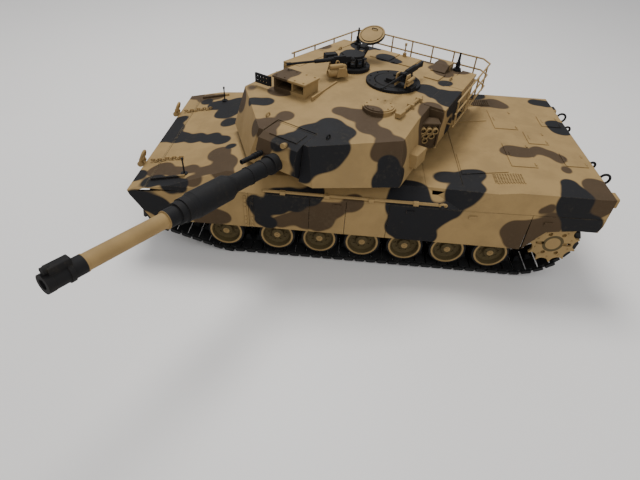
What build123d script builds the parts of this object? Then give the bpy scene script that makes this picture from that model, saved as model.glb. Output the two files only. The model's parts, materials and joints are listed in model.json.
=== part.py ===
from build123d import *
from math import acos, atan2, cos, degrees, hypot, pi, radians, sin
import os

os.makedirs("parts", exist_ok=True)

# Radio controlled battle tank, 1:16, in millimetres.
# Origin: the turret's traverse axis at the level of the ground.
# +X is the front of the hull, +Y its left side, +Z up.

# ---- hull ----
nose_x = 217.0
rear_x = -259.0
hull_half_width = 116.0
nose_height = 76.0
glacis_top_x = 117.0
roof_height = 97.0
deck_start_x = -84.0
deck_break_x = -170.0
deck_height = 110.0
sponson_floor = 80.0
wall = 2.5
chamfer_inner_y = 98.0
chamfer_low_z = 85.0
skirt_top = 84.2
skirt_bottom = 42.0
skirt_inner_y = 113.2
skirt_outer_y = 115.8
tub_half_width = 67.0
belly_height = 28.0
hatch_post_x, hatch_post_y, hatch_pin_radius = 82.0, -19.5, 1.45

# ---- running gear ----
wheel_xs = [121.4, 65.4, 19.2, -27.0, -73.2, -119.4, -165.6]
wheel_height = 25.4
wheel_radius = 19.6
idler_x, idler_height, idler_radius = 183.0, 48.0, 19.8
sprocket_x, sprocket_height = -222.5, 50.0
sprocket_teeth = 11
# each tooth's outline: place along one pitch, height as a share of the tooth's
tooth_shape = ((-0.5, 0), (-0.3, 0.06), (-0.14, 0.34), (-0.03, 1), (0.03, 1), (0.14, 0.34), (0.3, 0.06))
sprocket_tip_radius = 25.4
sprocket_root_radius = 20.2
track_middle_y = 92.0
track_half_width = 20.0
track_thickness = 5.5
track_clearance = 0.4
link_pitch = 12.1
slack_start_x = -188.0
axle_radius = 2.0
running_fit = 0.06

# ---- turret, in its own frame: +X along the gun, +Y its left side ----
traverse_at_rest = 60.0
elevation_at_rest = 5.0
turret_floor = 105.0
turret_roof = 151.0
ring_radius = 63.9
ring_opening_radius = 64.0
trunnion_x, trunnion_height = 96.0, 118.0
mantlet_radius = 25.5
mantlet_half_width = 22.8
gun_muzzle_x = 357.0
cupola_x, cupola_y = -56.0, -31.0
hatch_hinge_x, hatch_hinge_z = -77.5, 170.0
hatch_open_angle = 155.0
loader_x, loader_y = -47.0, 28.0
sight_door_x, sight_door_y = 51.4, -68.6


# ---------------------------------------------------------------- helpers
def flat_face(points):
    return make_face(Polyline(*points, close=True))


def slab_xz(points, y_start, y_end):
    """A prism whose outline lies in XZ, between two values of Y."""
    face = flat_face([(x, y_start, z) for x, z in points])
    return extrude(face, amount=abs(y_end - y_start), dir=(0, 1 if y_end > y_start else -1, 0))


def slab_xy(points, z_start, z_end):
    """A prism whose outline lies in XY, between two heights."""
    face = flat_face([(x, y, z_start) for x, y in points])
    return extrude(face, amount=z_end - z_start, dir=(0, 0, 1))


def block(x, y, z):
    """A box given by its (low, high) limits on each axis."""
    size = [high - low for low, high in (x, y, z)]
    middle = [(low + high) / 2 for low, high in (x, y, z)]
    return Pos(*middle) * Box(*size)


def rod(start, end, radius):
    start, end = Vector(*start), Vector(*end)
    return Solid.make_cylinder(radius, (end - start).length, Plane(start, z_dir=end - start))


def cone(start, end, start_radius, end_radius):
    start, end = Vector(*start), Vector(*end)
    plane = Plane(start, z_dir=end - start)
    return Solid.make_cone(start_radius, end_radius, (end - start).length, plane)


def disc(x, y, z_start, z_end, radius):
    return rod((x, y, z_start), (x, y, z_end), radius)


def trim(shape, point, normal):
    """Takes away what lies beyond a plane, on the side its normal points to."""
    return split(shape, bisect_by=Plane(point, z_dir=normal), keep=Keep.BOTTOM)


def fuse(parts):
    parts = list(parts)
    return parts[0].fuse(*parts[1:]) if len(parts) > 1 else parts[0]


def across(shape):
    """The same shape on the other side of the middle plane."""
    return mirror(shape, about=Plane.XZ)


def both(shape):
    return [shape, across(shape)]


def solids_of(shapes):
    found = []
    for shape in shapes:
        found += list(shape.solids())
    return found


def write(name, *shapes):
    solids = solids_of(shapes)
    body = solids[0] if len(solids) == 1 else Compound(children=solids)
    export_step(body, f"parts/{name}.step")


def write_turret(name, *shapes):
    """Writes pieces drawn in the turret's frame, turned to where the turret stands."""
    write(name, *[Rot(0, 0, traverse_at_rest) * solid for solid in solids_of(shapes)])


# ---------------------------------------------------------------- road wheels
def turned(profile):
    """A solid of revolution about Y from (radius, distance along Y) points."""
    return revolve(flat_face([(radius, along, 0) for radius, along in profile]), Axis.Y)


def wheel(radius):
    """A double wheel: two dished discs on one hub, with a tyre on each disc."""
    rim = radius - 2.2
    bore = axle_radius + running_fit
    face = 15.0
    half = [(6.3, 0.0), (6.3, 4.4), (12.8, 3.7), (rim, 3.7), (rim, face)]
    outer = half + [(rim - 2.6, face), (rim - 3.8, 10.2), (6.9, 8.8), (6.4, 12.6), (5.0, 13.6)]
    inner = [(r, -a) for r, a in half[1:]] + [(rim - 2.6, -face), (rim - 3.8, -10.2), (6.4, -8.8)]
    profile = outer + [(3.4, 14.4), (0.0, 14.4), (0.0, 11.2), (bore, 11.2), (bore, -13.6), (6.4, -13.6)]
    body = turned(profile + inner[::-1])
    bolts = []
    for step in range(10):
        angle = radians(36 * step)
        x, z = 9.7 * cos(angle), 9.7 * sin(angle)
        bolts.append(rod((x, 8.8, z), (x, 10.8, z), 0.8))
    for step in range(6):
        angle = radians(60 * step + 15)
        x, z = 4.3 * cos(angle), 4.3 * sin(angle)
        bolts.append(rod((x, 13.0, z), (x, 14.6, z), 0.5))
    cap = rod((0, 14.0, 0), (0, 15.0, 0), 2.2) - rod((0, 14.4, 0), (0, 15.2, 0), 1.2)
    body = fuse([body, cap] + bolts)
    tyres = []
    for side in (1, -1):
        ring = rod((0, side * 4.0, 0), (0, side * 14.7, 0), radius)
        ring = fillet(ring.edges().filter_by(GeomType.CIRCLE), 0.7)
        tyres.append(ring - rod((0, side * 3.5, 0), (0, side * 15.2, 0), rim))
    return [body] + tyres


def sprocket():
    """Two toothed rings bolted to the ends of a drum, on a driven shaft."""
    ring_low, ring_high = 17.4, 20.0
    points = []
    for tooth in range(sprocket_teeth):
        middle = 360 / sprocket_teeth * tooth
        for offset, radius in tooth_shape:
            angle = radians(middle + offset * 360 / sprocket_teeth)
            r = sprocket_root_radius + radius * (sprocket_tip_radius - sprocket_root_radius)
            points.append((r * cos(angle), r * sin(angle)))
    ring = slab_xz(points, ring_low, ring_high)
    holes = []
    for step in range(6):
        angle = radians(60 * step)
        x, z = 13.6 * cos(angle), 13.6 * sin(angle)
        if step % 3:
            holes.append(rod((x, ring_low - 1, z), (x, ring_high + 1, z), 2.3))
        else:
            turn = Pos(x, 18, z) * Rot(0, -60 * step, 0) * Rot(90, 0, 0)
            holes.append(turn * extrude(SlotOverall(9.0, 4.2), amount=4, both=True))
    ring = ring - holes
    drum = turned([(0, -ring_low), (15.8, -ring_low), (14.0, -12), (14.0, 12), (15.8, ring_low),
                   (10.4, ring_low), (9.6, 13.0), (0, 13.0)])
    hub = [rod((0, 12.0, 0), (0, 16.6, 0), 7.4), rod((0, 16.0, 0), (0, 18.4, 0), 4.2)]
    bolts = []
    for step in range(10):
        angle = radians(36 * step + 18)
        x, z = 17.6 * cos(angle), 17.6 * sin(angle)
        bolts.append(rod((x, 19.5, z), (x, 20.8, z), 0.8))
        x, z = 5.9 * cos(angle), 5.9 * sin(angle)
        bolts.append(rod((x, 16.0, z), (x, 17.3, z), 0.6))
    shaft = rod((0, -17.0, 0), (0, -44.0, 0), 2.94)
    return [fuse([drum, ring, across(ring), shaft] + hub + bolts)]


def place(shapes, x, height, left):
    """Moves a wheel drawn about the origin to one side of the hull."""
    moved = [Pos(x, track_middle_y, height) * shape for shape in solids_of(shapes)]
    return moved if left else [across(shape) for shape in moved]


# ---------------------------------------------------------------- tracks
def track_route():
    """Circles that the inner face of the track runs round, in order: (x, z, radius)."""
    floor = track_thickness
    sprocket_inner = sprocket_root_radius + 1.7
    rise = sprocket_height - floor
    back = slack_start_x - sprocket_x
    slack = (back ** 2 + rise ** 2 - sprocket_inner ** 2) / (2 * (rise - sprocket_inner))
    return [(slack_start_x, floor + slack, slack),
            (wheel_xs[0], wheel_height, wheel_height - floor),
            (idler_x, idler_height, idler_radius + track_clearance),
            (sprocket_x, sprocket_height, sprocket_inner)]


def track_stretches():
    """Arcs and lines of the route, each with its length."""
    circles = track_route()
    normals = []
    for (x1, z1, r1), (x2, z2, r2) in zip(circles, circles[1:] + circles[:1]):
        distance = hypot(x2 - x1, z2 - z1)
        lean = acos(max(-1.0, min(1.0, (r1 - r2) / distance)))
        normals.append((atan2(z2 - z1, x2 - x1) - lean) % (2 * pi))
    stretches = []
    for index, (x, z, r) in enumerate(circles):
        turn = (normals[index] - normals[index - 1]) % (2 * pi)
        stretches.append(("arc", (x, z, r, normals[index - 1]), r * turn))
        x2, z2, r2 = circles[(index + 1) % len(circles)]
        start = (x + r * cos(normals[index]), z + r * sin(normals[index]))
        end = (x2 + r2 * cos(normals[index]), z2 + r2 * sin(normals[index]))
        length = hypot(end[0] - start[0], end[1] - start[1])
        if length > 0.01:
            stretches.append(("line", (start, end), length))
    return stretches


def link_places():
    """Where each link sits: x, z of its inner face and the angle it lies at."""
    stretches = track_stretches()
    total = sum(length for kind, data, length in stretches)
    count = round(total / link_pitch)
    places = []
    for step in range(count):
        along = total * (step + 0.5) / count
        for kind, data, length in stretches:
            if along <= length:
                break
            along -= length
        if kind == "arc":
            x, z, r, start = data
            angle = start + along / r
            places.append((x + r * cos(angle), z + r * sin(angle), degrees(angle) + 90))
        else:
            (x1, z1), (x2, z2) = data
            share = along / length
            angle = degrees(atan2(z2 - z1, x2 - x1))
            places.append((x1 + share * (x2 - x1), z1 + share * (z2 - z1), angle))
    return places


def track_link(with_connectors):
    """One link seen from the hull: inner face at z = 0, pads below it."""
    plate_edge = track_half_width - 3.2
    plate = block((-5.1, 5.1), (-plate_edge, plate_edge), (-3.4, 0))
    pads = []
    for side in (1, -1):
        pad = block((-4.4, 4.4), sorted((side * 2.2, side * (plate_edge - 0.6))), (-5.5, -3.0))
        pads.append(chamfer(pad.faces().sort_by(Axis.Z)[0].edges(), 0.6))
    horn = slab_xz([(-3.6, -0.5), (3.6, -0.5), (1.6, 6.8), (-1.6, 6.8)], -1.9, 1.9)
    parts = [plate, horn] + pads
    if with_connectors:
        pin = rod((-6.0, -track_half_width, -1.9), (-6.0, track_half_width, -1.9), 1.2)
        ends = []
        for side in (1, -1):
            low, high = sorted((side * (plate_edge + 0.2), side * track_half_width))
            outline = Pos(-6.0, 0, -1.9) * Rot(90, 0, 0) * SlotOverall(10.6, 3.6)
            ends.append(Pos(0, high, 0) * extrude(outline, amount=high - low))
        parts += [pin - block((-9, -4.9), (-plate_edge - 0.1, plate_edge + 0.1), (-4, 1))] + ends
        parts.append(block((-6.0, -4.6), (-plate_edge, plate_edge), (-3.0, -0.8)))
    return fuse(parts)


def track(left):
    full, bare = track_link(True), track_link(False)
    links = []
    for x, z, angle in link_places():
        near_sprocket = hypot(x - sprocket_x, z - sprocket_height) < sprocket_tip_radius + 4
        link = bare if near_sprocket else full
        links.append(Pos(x, track_middle_y, z) * Rot(0, -angle, 0) * link)
    return links if left else [across(link) for link in links]


def swing_arms(left):
    """Seven trailing arms, the idler's arm and their stub axles, on the hull's side."""
    pivots = [(x + 19.0, 37.0, x, wheel_height) for x in wheel_xs]
    pivots.append((idler_x - 20.0, 44.0, idler_x, idler_height))
    arms = []
    for pivot_x, pivot_z, x, z in pivots:
        length = hypot(pivot_x - x, pivot_z - z)
        angle = degrees(atan2(pivot_z - z, pivot_x - x))
        outline = Rot(90, 0, 0) * SlotOverall(length + 9, 9)
        arm = Pos((x + pivot_x) / 2, 73.4, (z + pivot_z) / 2) * Rot(0, -angle, 0) * extrude(outline, amount=4)
        axle = rod((x, 72.0, z), (x, track_middle_y + 10.6, z), axle_radius)
        spring = rod((pivot_x, tub_half_width, pivot_z), (pivot_x, 71.0, pivot_z), 5.4)
        arms.append(fuse([arm, axle, spring]))
    return arms if left else [across(arm) for arm in arms]


# ---------------------------------------------------------------- hull
def lower_hull():
    """The tub: a hollow box with a sloped nose and tail, and rails for the battery door."""
    outer = [(167, belly_height), (213, 69.5), (208.5, 73.6), (197, 79.6), (-252, 79.6), (-252, 44),
             (-232, belly_height)]
    inner = [(166, belly_height + wall), (207, 68.5), (190, 78), (186, 84), (-249.5, 84), (-249.5, 45.2),
             (-231, belly_height + wall)]
    tub = slab_xz(outer, -tub_half_width, tub_half_width)
    tub = tub - slab_xz(inner, wall - tub_half_width, tub_half_width - wall)
    shaft_holes = rod((sprocket_x, -80, sprocket_height), (sprocket_x, 80, sprocket_height), 3.0)
    battery_hole = block((-40, 60), (-30, 30), (20, 35))
    switch_slot = block((86, 98), (26, 30.4), (20, 35))
    tub = tub - [shaft_holes, battery_hole, switch_slot]
    rails = []
    for side in (1, -1):
        rails.append(block((-104, 66), sorted((side * 35.4, side * 37.6)), (23.4, belly_height)))
        rails.append(block((-104, 66), sorted((side * 33.4, side * 37.6)), (23.4, 25.2)))
    louvres = []
    for step in range(6):
        z = 52 + 4 * step
        louvres.append(slab_xz([(-252, z), (-254.2, z), (-252, z + 2.6)], -46, 46))
    hooks = []
    for y in (-58, 58):
        eye = rod((-255.5, y - 4, 54), (-255.5, y + 4, 54), 1.4)
        hooks.append(block((-258, -252), (y - 3, y + 3), (50, 58)) - eye)
    return fuse([tub] + rails + louvres + hooks)


def deck_profile(drop):
    """Side outline of the raised engine deck, lowered by drop."""
    return [(deck_start_x, roof_height + 0.3 - drop), (deck_break_x, deck_height - drop),
            (rear_x + drop, deck_height + 0.5 - drop)]


def skirt_top_line():
    """The line the skirts hang from, front to rear."""
    return [(nose_x, nose_height - 1.0), (glacis_top_x, skirt_top), (-118, skirt_top), (rear_x, skirt_top + 3.4)]


def hull_sides(shape, point, normal):
    """The same sloped cut on the left and the right."""
    shape = trim(shape, point, normal)
    mirrored = (normal[0], -normal[1], normal[2])
    return trim(shape, (point[0], -point[1], point[2]), mirrored)


def upper_hull():
    """The top moulding: glacis, roof, sponsons and the raised rear."""
    front = [(nose_x, nose_height), (glacis_top_x, roof_height), (rear_x, roof_height),
             (rear_x, sponson_floor), (199, sponson_floor), (210, 74.5), (nose_x - 1, 71)]
    body = slab_xz(front, -hull_half_width, hull_half_width)
    slope = (0, hull_half_width - chamfer_inner_y, roof_height - chamfer_low_z)
    body = hull_sides(body, (0, chamfer_inner_y, roof_height), (0, slope[2], slope[1]))
    rear = slab_xz(deck_profile(0) + [(rear_x, skirt_top), (deck_start_x, skirt_top)], -115.6, 115.6)
    corner = Vector(deck_start_x, 98, 97)
    edge_one = Vector(-145, 115.6, 104) - corner
    edge_two = Vector(-118, 116, 85) - corner
    normal = edge_two.cross(edge_one)
    if normal.Y < 0:
        normal = normal * -1
    rear = hull_sides(rear, (deck_start_x, 98, 97), (normal.X, normal.Y, normal.Z))
    body = fuse([body, rear])
    inside = slab_xz([(173, sponson_floor + wall), (116, roof_height - wall), (-256.4, roof_height - wall),
                      (-256.4, sponson_floor + wall)], -95, 95)
    below = deck_profile(wall)
    rear_inside = slab_xz([(-90, 92)] + [(-90, below[0][1] + 0.8)] + below[1:]
                          + [(-256.4, sponson_floor + wall), (-90, sponson_floor + wall)], -104, 104)
    well = slab_xz([(190, 79), (-249.5, 79), (-249.5, 86), (158, 86)], -64.5, 64.5)
    body = body - [inside, rear_inside, well]
    rebate = skirt_top_line() + [(rear_x - 5, skirt_top + 3.4), (rear_x - 5, 60), (nose_x + 5, 60),
                                 (nose_x + 5, nose_height - 1)]
    body = body - both(slab_xz(rebate, 113.0, 118))
    ring_hole = disc(0, 0, 90, 100, ring_opening_radius)
    driver_hole = block((78, 108), (-13, 13), (90, 100))
    post_hole = disc(hatch_post_x, hatch_post_y, 90, 100, hatch_pin_radius + running_fit)
    seam = block((-119.3, -118.7), (-98, 98), (101.6, 108))
    body = body - [ring_hole, driver_hole, post_hole, seam]
    step = slab_xz([(196.5, 79.8), (196.5, 82.7), (160, 90.2), (160, 87.2)], 100.2, 102.2)
    return fuse([body] + both(step))


def skirt_panels(left):
    """Side skirts: six plates with narrow seams, and the hinge bars at the first seam."""
    gap = 0.25
    edges = [93.0, 31.0, -6.0, -49.0, -189.0]
    top = skirt_top - 0.3
    front = [(nose_x - 0.2, nose_height - 1.4), (nose_x - 1.2, 71), (198, 41), (edges[0] + gap, 41.5),
             (edges[0] + gap, top), (glacis_top_x, top)]
    plates = [front]
    for high, low in zip(edges, edges[1:]):
        line = [(high - gap, skirt_bottom), (high - gap, top)]
        if low < -118:
            line += [(-118, top), (low + gap, top + 1.7)]
        else:
            line += [(low + gap, top)]
        plates.append(line + [(low + gap, skirt_bottom)])
    rear = [(edges[-1] - gap, top + 1.7), (edges[-1] - gap - 1.5, 43), (-200, 57), (-208, 67), (-237, 71.4),
            (-257, 71.4), (rear_x, 80), (rear_x, top + 3.4)]
    plates.append(rear)
    parts = [slab_xz(points, skirt_inner_y, skirt_outer_y) for points in plates]
    hinges = []
    for x in (89.6, 96.4):
        bar = block((x - 1.3, x + 1.3), (skirt_outer_y - 0.4, skirt_outer_y + 1.0), (43, 81))
        bolts = [rod((x, skirt_outer_y, z), (x, skirt_outer_y + 1.8, z), 0.8) for z in (46, 51, 56, 68, 73, 78)]
        hinges.append(fuse([bar] + bolts))
    parts[0] = fuse([parts[0], hinges[1]])
    parts[1] = fuse([parts[1], hinges[0]])
    for index, x in ((2, 3.0), (4, -70.0), (4, -132.0), (5, -206.0)):
        latch = block((x - 4, x + 4), (skirt_outer_y - 0.4, skirt_outer_y + 1.1), (76, 79.5))
        parts[index] = fuse([parts[index], latch])
    return parts if left else [across(part) for part in parts]


def deck_plate(x_low, x_high, y_low, y_high):
    """A cover plate that lies on the engine deck, with two hinges and a grab handle."""
    thick = 0.8
    outline = [(x_low, y_low), (x_high, y_low), (x_high, y_high), (x_low, y_high)]
    plate = slab_xy(outline, 90, 118)
    surface = deck_profile(0)
    skin = [(x, z) for x, z in surface] + [(x, z + thick) for x, z in reversed(surface)]
    plate = plate & slab_xz(skin, -120, 120)
    top = deck_height + thick - 0.1
    extras = []
    if x_low >= rear_x and x_high <= deck_break_x:
        middle = (y_low + y_high) / 2
        for y in (y_low + 5, y_high - 5):
            extras.append(rod((x_low + 1.4, y - 2.4, top + 0.6), (x_low + 1.4, y + 2.4, top + 0.6), 0.8))
        extras.append(block((x_high - 4, x_high - 2.8), (middle - 4, middle + 4), (top - 0.2, top + 0.9)))
    return fuse([plate] + extras)


def grille(x_low, x_high, y_low, y_high):
    """A framed lattice on the engine deck."""
    bars = []
    x = x_low
    while x <= x_high - 0.9:
        bars.append([(x, y_low), (x + 0.9, y_low), (x + 0.9, y_high), (x, y_high)])
        x += 2.51
    y = y_low
    while y <= y_high - 0.9:
        bars.append([(x_low, y), (x_high, y), (x_high, y + 0.9), (x_low, y + 0.9)])
        y += 2.44
    lattice = fuse([slab_xy(bar, 90, 118) for bar in bars])
    surface = deck_profile(0)
    skin = [(x, z) for x, z in surface] + [(x, z + 0.7) for x, z in reversed(surface)]
    return lattice & slab_xz(skin, -120, 120)


def engine_deck():
    plates = []
    for x_low, x_high, y_low, y_high in ((-166, -121, 37, 78), (-199, -172, 18, 66), (-253, -230, 32, 58)):
        plates += both(deck_plate(x_low, x_high, y_low, y_high))
    plates += both(grille(-178.5, -150, 80.5, 98))
    plates.append(deck_plate(-225, -203, -14, 14))
    return plates


def driver_hatch():
    """The driver's hatch with three periscopes, on a swing post at its right side."""
    lid = block((74, 112), (-17, 17), (97.3, 99.6))
    lid = fillet(lid.edges().filter_by(Axis.Z), 5)
    periscopes = []
    for y in (-9.5, 0, 9.5):
        periscopes.append(block((103, 109), (y - 3.6, y + 3.6), (99.4, 101.9)))
    x, y = hatch_post_x, hatch_post_y
    post = disc(x, y, 97.3, 100.4, 3.2)
    arm = block((x - 2, x + 2), (y, -12), (98.4, 100.4))
    pin = disc(x, y, 92.5, 97.5, hatch_pin_radius)
    return [fuse([lid, post, arm, pin] + periscopes)]


def glacis_height(x):
    return nose_height + (roof_height - nose_height) * (nose_x - x) / (nose_x - glacis_top_x)


def glacis_body():
    """The space under the glacis, so that fittings rest on its slope."""
    outline = [(nose_x, nose_height), (glacis_top_x, roof_height), (glacis_top_x, 60), (nose_x, 60)]
    return slab_xz(outline, -120, 120)


def marker_rods():
    """Two marker rods on round feet at the front corners of the glacis."""
    rods = []
    for y in (96.0, -84.0):
        z = glacis_height(162) + 0.4
        foot = disc(162, y, z - 1.2, z + 1.0, 3.6)
        rod_parts = [foot, disc(162, y, z, z + 17, 0.8), disc(162, y, z + 16, z + 18.5, 1.2)]
        rods.append(fuse(rod_parts) - glacis_body())
    return rods


def tow_shackles():
    """A bow shackle on a lug at each side of the nose, and the chain laid back from it."""
    pieces = []
    for y in (-62.0, 62.0):
        lug = slab_xz([(nose_x - 0.6, 71.5), (nose_x + 6, 72), (nose_x + 8, 76), (nose_x + 5, 80),
                       (nose_x + 0.1, 76.2)], y - 2, y + 2)
        pin = rod((nose_x + 4.2, y - 6.4, 76.4), (nose_x + 4.2, y + 6.4, 76.4), 1.5)
        bow = Pos(nose_x + 1.5, y, 84.0) * Rot(0, 70, 0) * Torus(5.6, 1.5)
        eyes = []
        legs = []
        for side in (1, -1):
            middle = (nose_x + 4.2, y + side * 5.2, 76.4)
            eyes.append(rod((nose_x + 4.2, y + side * 4.2, 76.4), (nose_x + 4.2, y + side * 6.2, 76.4), 3.0))
            legs.append(rod(middle, (nose_x + 2.6, y + side * 5.2, 83.0), 1.5))
        pieces.append(fuse([lug, pin, bow] + eyes + legs) - glacis_body())
        for step in range(9):
            x = nose_x - 8.6 - step * 4.1
            flat = step % 2 == 1
            tilt = (0, 11.9, 0) if flat else (50, 11.9, 0)
            lift = 0.8 if flat else 2.3
            link = Pos(x, y + 0.7 * sin(step), glacis_height(x) + lift) * Rot(*tilt) * Torus(1.9, 0.62)
            pieces.append(link)
    return pieces


def tow_cables():
    """A tow cable along each sponson, held in clamps, with an eye at each end."""
    z = chamfer_low_z + 2.9
    y = hull_half_width - 1.1
    cable = rod((78, y, z), (-96, y, z), 1.1)
    eyes = []
    for x in (82.5, -100.5):
        eye = Pos(x, y, z) * Rot(56, 0, 0) * Torus(3.4, 1.1)
        eyes.append(eye)
    clamps = []
    for x in (58, 14, -30, -74):
        clamps.append(block((x - 2.6, x + 2.6), (y - 1.6, y + 2.0), (z - 1.9, z + 1.9)))
    cable = fuse([cable] + eyes + clamps) - upper_hull_wedge()
    return both(cable)


def upper_hull_wedge():
    """The space of the left sponson's edge, so that fittings lie on its slope."""
    outline = [(chamfer_inner_y, roof_height), (hull_half_width, chamfer_low_z), (hull_half_width, 70), (90, 70),
               (90, roof_height)]
    face = flat_face([(nose_x, y, z) for y, z in outline])
    return extrude(face, amount=nose_x - rear_x, dir=(-1, 0, 0))


def rear_light_pods():
    pods = []
    for side in (1, -1):
        low, high = sorted((side * 92, side * 106))
        housing = block((rear_x - 9, rear_x), (low, high), (95, 105.5))
        housing = fillet(housing.edges().filter_by(Axis.X), 1.8)
        middle = side * 99
        lens = rod((rear_x - 8.5, middle, 100.2), (rear_x - 10.4, middle, 100.2), 3.4)
        pods.append(fuse([housing, lens]))
    return pods


def lifting_rings():
    rings = []
    for side in (1, -1):
        for y, radius in ((70.0, 5.2), (41.0, 3.2)):
            lug = block((rear_x - 4, rear_x), (side * y - 2, side * y + 2), (99.0, 105.0))
            z = 103.0 + radius * 0.6
            ring = Pos(rear_x - 3 - radius * 0.8, side * y, z) * Rot(90, 0, 0) * Torus(radius, 1.25)
            rings.append(fuse([lug, ring]))
    return rings


def hull_screws():
    """Pan-head screws that hold the tub to the top moulding."""
    screws = []
    for x in (150, 110, -60, -120, -200):
        for y in (-55, 55):
            head = disc(x, y, belly_height - 1.4, belly_height, 2.6)
            slot = block((x - 3, x + 3), (y - 0.35, y + 0.35), (belly_height - 1.6, belly_height - 0.8))
            screws.append(head - slot)
    return screws


# ---------------------------------------------------------------- inside the hull
def drive_gearboxes():
    """A gearbox and motor for each track, at the rear of the tub."""
    boxes = []
    for side in (1, -1):
        low, high = sorted((side * 34, side * 64.3))
        outline = [(-186, 33), (-229, 33), (-245, 46.5), (-245, 66), (-186, 66)]
        case = slab_xz(outline, low, high)
        shaft_start = (sprocket_x, side * 46, sprocket_height)
        shaft_end = (sprocket_x, side * 70, sprocket_height)
        case = case - rod(shaft_start, shaft_end, 3.1)
        motor = rod((-186.5, side * 48, 50), (-148, side * 48, 50), 13.5)
        end = rod((-148.5, side * 48, 50), (-145, side * 48, 50), 5.0)
        boxes.append(fuse([case, motor, end]))
    return boxes


def battery_pack():
    cells = []
    for row in range(6):
        x = -33 + 16.8 * row
        cells.append(rod((x, -27, 40.2), (x, 27, 40.2), 8.2))
    wrap = block((-41, 59.2), (-25, 25), (33.6, 40))
    return [fuse(cells + [wrap])]


def control_electronics():
    """Receiver board with its main chips and sockets, and the speaker beside it."""
    board = block((84, 150), (-40, 16), (44, 45.6))
    legs = [disc(x, y, belly_height + wall, 44.2, 2.0) for x in (88, 146) for y in (-36, 12)]
    chips = [block((96, 108), (-30, -18), (45.4, 47)), block((118, 130), (-10, 4), (45.4, 48)),
             block((136, 148), (-38, -24), (45.4, 52)), block((88, 96), (-8, 8), (45.4, 51))]
    cans = [disc(112 + 9 * step, -32, 45.4, 55, 3.2) for step in range(3)]
    board = fuse([board] + legs + chips + cans)
    frame = disc(118, 44, belly_height + wall, 36, 18)
    magnet = disc(118, 44, 35.5, 50, 11)
    speaker = fuse([frame, magnet])
    return [board, speaker]


def power_switch():
    knob = block((87, 91.5), (26.4, 30.0), (25.6, 31.4))
    flange = block((84.6, 93.9), (24.6, 31.8), (31.0, 32.4))
    return [fuse([knob, flange])]


def battery_door():
    plate = block((-44, 64), (-35.1, 35.1), (25.5, 27.7))
    ribs = [block((x, x + 1.6), (-14, 14), (24.6, 25.7)) for x in (44, 48, 52, 56)]
    return [fuse([plate] + ribs)]


def toothed_ring(count, pitch_radius, inward, thickness, back):
    """Gear outline about the origin; teeth point in on a ring and out on a pinion."""
    addendum, dedendum = 0.8, 1.15
    tip = pitch_radius - addendum if inward else pitch_radius + addendum
    root = pitch_radius + dedendum if inward else pitch_radius - dedendum
    step = 2 * pi / count
    width = 1.2 / pitch_radius
    points = []
    for tooth in range(count):
        middle = tooth * step
        for offset, radius in ((-0.72, root), (-0.30, tip), (0.30, tip), (0.72, root)):
            angle = middle + offset * width
            points.append((radius * cos(angle), radius * sin(angle)))
    teeth = slab_xy(points, 0, thickness)
    if inward:
        return Solid.make_cylinder(back, thickness) - teeth
    return teeth


ring_teeth, pinion_teeth = 100, 10
gear_pitch_radius = 50.0
pinion_radius = gear_pitch_radius * pinion_teeth / ring_teeth


def traverse_pinion():
    """The pinion stands behind the turret's axis and meshes with the ring."""
    gear = toothed_ring(pinion_teeth, pinion_radius, False, 6.4, 0)
    middle = gear_pitch_radius - pinion_radius
    shaft = disc(0, 0, -9.5, 1.0, 1.5)
    pitch = 360 / ring_teeth
    gap = (traverse_at_rest + pitch / 2 - 180) % pitch
    turn = 180 + gap * ring_teeth / pinion_teeth
    return [Pos(-middle, 0, 90.4) * Rot(0, 0, turn) * fuse([gear, shaft])]


def traverse_motor():
    middle = gear_pitch_radius - pinion_radius
    case = block((-middle - 14, -middle + 14), (-12, 12), (62, 80.4))
    neck = disc(-middle, 0, 80.2, 84, 6)
    can = rod((-middle + 13.5, 0, 71), (-middle + 40, 0, 71), 9)
    bracket = block((-middle - 12, -middle + 12), (-64.3, 64.3), (58, 62.2))
    hole = disc(-middle, 0, 79, 85, 1.5 + running_fit)
    return [fuse([case, neck, can, bracket]) - hole]


# ---------------------------------------------------------------- turret
def turret_planes():
    """Outward planes of the turret's armour: (point, normal) on the left side."""
    low = turret_floor
    lean_cheek, lean_side = radians(18), radians(10)
    cheek = (0.775 * cos(lean_cheek), 0.632 * cos(lean_cheek), sin(lean_cheek))
    side = (-0.108 * cos(lean_side), 0.994 * cos(lean_side), sin(lean_side))
    return [((125, 30, low), (cos(radians(10)), 0, sin(radians(10)))),
            ((125, 40, low), cheek),
            ((72, 105, low), side),
            ((-142, 0, 112), (-0.995, 0, 0.1)),
            ((20, 0, turret_roof), (0.09, 0, 1)),
            ((-62, 0, low), (-0.1, 0, -1))]


def turret_block(inset):
    """The turret's outer form, shrunk on every face by inset."""
    body = block((-150, 140), (-130, 130), (turret_floor + inset, turret_roof - inset))
    for point, normal in turret_planes():
        direction = Vector(*normal).normalized()
        for side in (1, -1):
            away = Vector(direction.X, side * direction.Y, direction.Z)
            start = Vector(point[0], side * point[1], point[2]) - away * inset
            body = trim(body, (start.X, start.Y, start.Z), (away.X, away.Y, away.Z))
    return body


def roof_at(x):
    return turret_roof - 0.09 * max(0.0, x - 20)


def blanking_cover():
    """The bolted round cover on the left of the roof."""
    x, y = 22.0, 48.0
    base = disc(x, y, 144, 153.6, 17.0)
    step = disc(x, y, 153.4, 154.8, 15.2)
    bolts = []
    for index in range(10):
        angle = radians(36 * index)
        bolts.append(disc(x + 12.8 * cos(angle), y + 12.8 * sin(angle), 154.6, 155.6, 0.75))
    return fuse([base, step] + bolts)


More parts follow.
